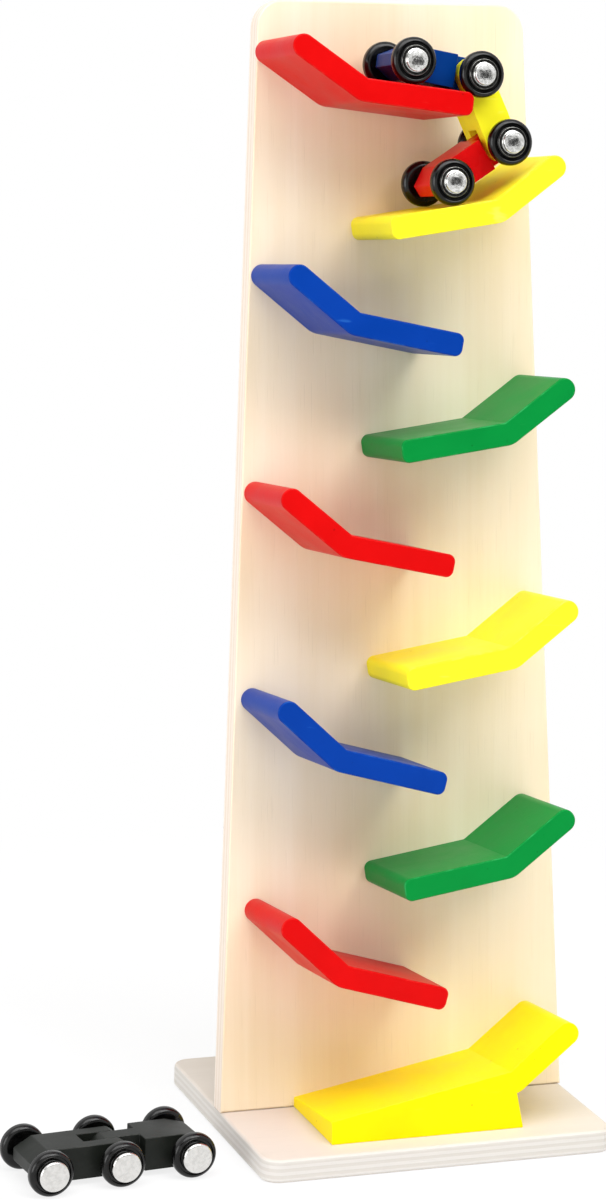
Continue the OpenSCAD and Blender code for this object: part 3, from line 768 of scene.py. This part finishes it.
board_out = np.array([0, -cos(board_lean), sin(board_lean)])
car_heading = radians(5.5)
floor_out = np.array([sin(car_heading), -cos(car_heading), 0])
train_places = [centre_of("train_axle_%d" % n) for n in (1, 2, 3, 4)]
black_places = [centre_of("black_axle_%d" % n) for n in (1, 2, 3)]
trains = (("train", train_places, board_out), ("black", black_places, floor_out))
wheelsets = [(family, n + 1, place, out_way, "%s_wheelset_%d" % (family, n + 1))
             for family, places, out_way in trains for n, place in enumerate(places)]
for family, number, place, out_way, body in wheelsets:
    for way_word, way in (("near", 1), ("far", -1)):
        node = "%s_%s_wheel_%d" % (family, way_word, number)
        middle = place + out_way * way * wheel_track / 2
        piece = turned("dressed_" + node, wheel_profile(), middle, out_way * way)
        piece.data.materials.append(wheel_black)
        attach(piece, body)
        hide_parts(node)

# Hub caps
# Bright pressed caps over the axle ends. The coloured train has stepped ones with a flange and a
# raised middle, and the black train has plain drums with a rounded edge.
flange_d, flange_t, dome_d, cap_h, cap_edge_r = 15.6 * mm, 0.8 * mm, 11.5 * mm, 3.4 * mm, 0.7 * mm
flat_cap_d, flat_cap_h, pole_r, lip_ease = 16 * mm, 3.4 * mm, 0.05 * mm, 0.3 * mm
dome_crown, flat_crown, flat_edge_r = 0.6 * mm, 0.12 * mm, 1.3 * mm


def cap_profile(wide, high, bulge, edge_r, step_wide=None, step_high=0.0):
    """Half section of a cap from its middle outwards: crowned top, rounded edge, wall, then flange if any."""
    arc_steps = 8
    sweep = np.linspace(0, pi / 2, arc_steps)
    radius = np.linspace(pole_r, wide / 2 - edge_r, arc_steps)[:-1]
    top = np.column_stack([radius, high - bulge * (radius / (wide / 2)) ** 2])
    drop = bulge * ((wide / 2 - edge_r) / (wide / 2)) ** 2
    edge = np.column_stack([wide / 2 - edge_r + edge_r * np.sin(sweep),
                            high - drop - edge_r + edge_r * np.cos(sweep)])
    if step_wide is None:
        foot = [(wide / 2, 0)]
    else:
        lip = np.column_stack([step_wide / 2 - lip_ease + lip_ease * np.sin(sweep),
                               step_high - lip_ease + lip_ease * np.cos(sweep)])
        foot = np.concatenate([[(wide / 2, step_high + lip_ease),
                                (wide / 2 + lip_ease / 3, step_high + lip_ease / 3),
                                (wide / 2 + lip_ease, step_high)], lip, [(step_wide / 2, 0)]])
    return np.concatenate([top, edge, foot, [(pole_r, 0)]])


def pressed_cap(name, dimpling, dimple_scale, dark, light):
    """Pressed steel: a faint mottled dimpling and a slight haze break up what it mirrors."""
    material = bpy.data.materials.new(name)
    make, link, shader = nodes_of(material)
    place = make("TexCoord").outputs["Object"]
    mottle = noise(make, place, dimple_scale, Detail=2, Roughness=0.5, Distortion=0.4)
    haze = noise(make, place, 900.0, Detail=3, Roughness=0.6)
    link(spread(make, haze, 0.3, 0.7, 0.1, 0.22), shader.inputs["Roughness"])
    link(ramp_between(make, mottle, linear(*dark), linear(*light), (0.35, 0.6)), shader.inputs["Base Color"])
    bump = make("Bump", Strength=dimpling, Distance=0.25 * mm, Height=mottle)
    link(bump.outputs[0], shader.inputs["Normal"])
    shader.inputs["Metallic"].default_value = 1.0
    return material


cap_finish = {
    "train": pressed_cap("bright_cap", dimpling=0.3, dimple_scale=520.0, dark=(196, 196, 192),
                         light=(236, 236, 234)),
    "black": pressed_cap("satin_cap", dimpling=0.03, dimple_scale=420.0, dark=(213, 212, 209),
                         light=(226, 225, 222))}
# The flange takes a darker copy of the cap steel. This is painted shade, standing in for the dark
# surroundings that the flange would mirror.
flange_painted_shade = pressed_cap("flange_painted_shade", dimpling=0.1, dimple_scale=520.0, dark=(96, 96, 93),
                          light=(138, 138, 134))


def second_finish_beyond(piece, middle, way, radius, finish_there):
    """Gives a second material to the faces whose middles lie further from the turning axis than a radius."""
    piece.data.materials.append(finish_there)
    centres = np.zeros(len(piece.data.polygons) * 3)
    piece.data.polygons.foreach_get("center", centres)
    off = centres.reshape(-1, 3) - middle
    off = off - (off @ way)[:, None] * way
    piece.data.polygons.foreach_set("material_index", (np.linalg.norm(off, axis=1) > radius).astype(int))


for family, number, place, out_way, body in wheelsets:
    if family == "train":
        profile = cap_profile(dome_d, cap_h, dome_crown, cap_edge_r, flange_d, flange_t)
    else:
        profile = cap_profile(flat_cap_d, flat_cap_h, flat_crown, flat_edge_r)
    node = "%s_caps_%d" % (family, number)
    for word, way in (("near", 1), ("far", -1)):
        middle = place + out_way * way * (wheel_track + wheel_w) / 2
        piece = turned("dressed_%s_%s" % (node, word), profile, middle, out_way * way, closed=False)
        piece.data.materials.append(cap_finish[family])
        if family == "train":
            # Faces beyond the dome take the flange's darker steel, which is painted shade.
            second_finish_beyond(piece, place, out_way, dome_d / 2 + cap_edge_r / 2, flange_painted_shade)
        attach(piece, body)
        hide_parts(node)

# Axles
# Plain steel rods, mostly hidden in the links and wheels.
steel = bare_metal("steel_axle", linear(186, 188, 192), rough=0.22)
for family, number, place, out_way, body in wheelsets:
    dress_node("%s_axle_%d" % (family, number), steel)

# Links
# The cars are links of painted wood: a tongue with a rounded eye turns in the fork of the next link.
# The coloured train runs down red end first, with yellow in the middle and blue last. The second train,
# of two cars, is black.
link_w, link_h, eye_d, tongue_w, tongue_play = 25.6 * mm, 17.6 * mm, 18.6 * mm, 10 * mm, 0.3 * mm
nose_len, nose_flat, nose_back, end_bevel = 8 * mm, 6.6 * mm, 1.5 * mm, 3 * mm
train_pitch, train_shoulder, car_pitch, car_shoulder = 38 * mm, 11 * mm, 39.2 * mm, 15.5 * mm
link_edge_r = 0.55 * mm
nose_end = [(-nose_len, nose_flat / 2), (-nose_len, -nose_flat / 2)]


def eye_arc(x, way, steps=26):
    """The rounded end about an axle: the eye's arc from where it meets one flat of the link to the other."""
    meet = np.arcsin(link_h / eye_d)
    sweep = np.linspace(-meet, meet, steps)
    return np.column_stack([x + way * eye_d / 2 * np.cos(sweep), way * eye_d / 2 * np.sin(sweep)])


def link_piece(name, ends, cuts, kinds, origin, along, out_way, colour):
    """A link: one outline in three layers across its width, where an end may miss from some layers.

    The outline runs from the lower cut points round the right end, back over the top and round the left
    end. A fork keeps its end in the two outer layers only, a tongue in the middle one only, and a
    solid end in all three. Ends, cuts and kinds are given left, then right.
    Point = origin + along * x + up * z - out_way * y.
    """
    top, low_z = link_h / 2, -link_h / 2
    left, right = (np.asarray(end, float) for end in ends)
    left_cut, right_cut = cuts
    left_kind, right_kind = kinds
    ring = np.concatenate([[(left_cut, low_z), (right_cut, low_z)], right,
                           [(right_cut, top), (left_cut, top)], left])
    n, r = len(ring), len(right)
    half = tongue_w / 2 + (tongue_play if "fork" in kinds else 0)
    levels = np.array([-link_w / 2, -half, half, link_w / 2])
    up_way = np.cross(out_way, along)
    flat = origin + ring[:, :1] * along + ring[:, 1:] * up_way
    points = np.concatenate([flat - y * out_way for y in levels])
    zones = {"right": np.arange(1, r + 3), "body": np.array([0, 1, r + 2, r + 3]),
             "left": np.concatenate([np.arange(r + 3, n), [0]])}
    rims = {"right": np.arange(1, r + 2), "body": np.array([0, r + 2]), "left": np.arange(r + 3, n)}
    keeps = {"fork": (True, False, True), "tongue": (False, True, False), "solid": (True, True, True)}
    here = {"right": keeps[right_kind], "body": (True, True, True), "left": keeps[left_kind]}
    faces = []
    for zone in ("right", "body", "left"):
        for layer in range(3):
            if here[zone][layer]:
                a = rims[zone] + layer * n
                b = (rims[zone] + 1) % n + layer * n
                faces += np.stack([a, b, b + n, a + n], 1).tolist()
        for level_no in range(4):
            below = here[zone][level_no - 1] if level_no > 0 else False
            above = here[zone][level_no] if level_no < 3 else False
            if below != above:
                faces.append((zones[zone] + level_no * n).tolist())
    for zone, (a, b) in (("right", (1, r + 2)), ("left", (r + 3, 0))):
        for layer in range(3):
            if not here[zone][layer]:
                faces.append([a + layer * n, b + layer * n, b + (layer + 1) * n, a + (layer + 1) * n])
    piece = grid_mesh(name, points, faces)
    work = bmesh.new()
    work.from_mesh(piece.data)
    bmesh.ops.delete(work, geom=[v for v in work.verts if not v.link_faces], context="VERTS")
    work.to_mesh(piece.data)
    work.free()
    finish(piece, link_edge_r, steps=3)
    piece.data.materials.append(colour)
    return piece


def unit(v):
    """The direction of a vector, one long."""
    return v / np.linalg.norm(v)


train_paints = {
    "blue": painted("blue_car_paint", linear(0, 54, 128), linear(40, 92, 165), rough=0.32, coat=0.06),
    "yellow": painted("yellow_car_paint", linear(255, 246, 40), linear(255, 248, 130), rough=0.3, coat=0.06),
    "red": painted("red_car_paint", linear(212, 10, 12), linear(236, 84, 80), rough=0.3, coat=0.15),
    "black": painted("black_car_paint", linear(22, 25, 21), linear(84, 86, 82), rough=0.4, coat=0.0,
                     specular=0.2)}
a1, a2, a3, a4 = train_places
b1, b2, b3 = black_places
eye, car_eye, back_eye = eye_arc(train_pitch, 1), eye_arc(car_pitch, 1), eye_arc(0, -1)
train_cut, car_cut = train_pitch - train_shoulder, car_pitch - car_shoulder
end_x, end_cut = car_pitch + nose_len, car_pitch - end_bevel
square_end = [(end_x, end_bevel - link_h / 2), (end_x, link_h / 2 - end_bevel)]
solid_tongue, solid_fork = ("solid", "tongue"), ("solid", "fork")
# Each link: its node, paint and body, then its ends, cuts and kinds, its first axle and the next one.
links = [
    ("blue_link", "blue", "blue_car", (nose_end, eye), (nose_back, train_cut), solid_tongue,
     a1, a2, board_out),
    ("yellow_link", "yellow", "yellow_car", (back_eye, eye), (train_shoulder, train_cut), ("fork", "fork"),
     a2, a3, board_out),
    ("red_link", "red", "red_car", (nose_end, eye), (nose_back, train_cut), solid_tongue,
     a4, a3, board_out),
    ("black_fork_link", "black", "black_fork_car", (nose_end, car_eye), (nose_back, car_cut), solid_fork,
     b1, b2, floor_out),
    ("black_tongue_link", "black", "black_tongue_car", (back_eye, square_end), (car_shoulder, end_cut),
     ("tongue", "solid"), b2, b3, floor_out)]
for node, paint_word, body, ends, cuts, kinds, origin, towards, out_way in links:
    piece = link_piece("dressed_" + node, ends, cuts, kinds, origin, unit(towards - origin), out_way,
                       train_paints[paint_word])
    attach(piece, body)
    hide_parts(node)
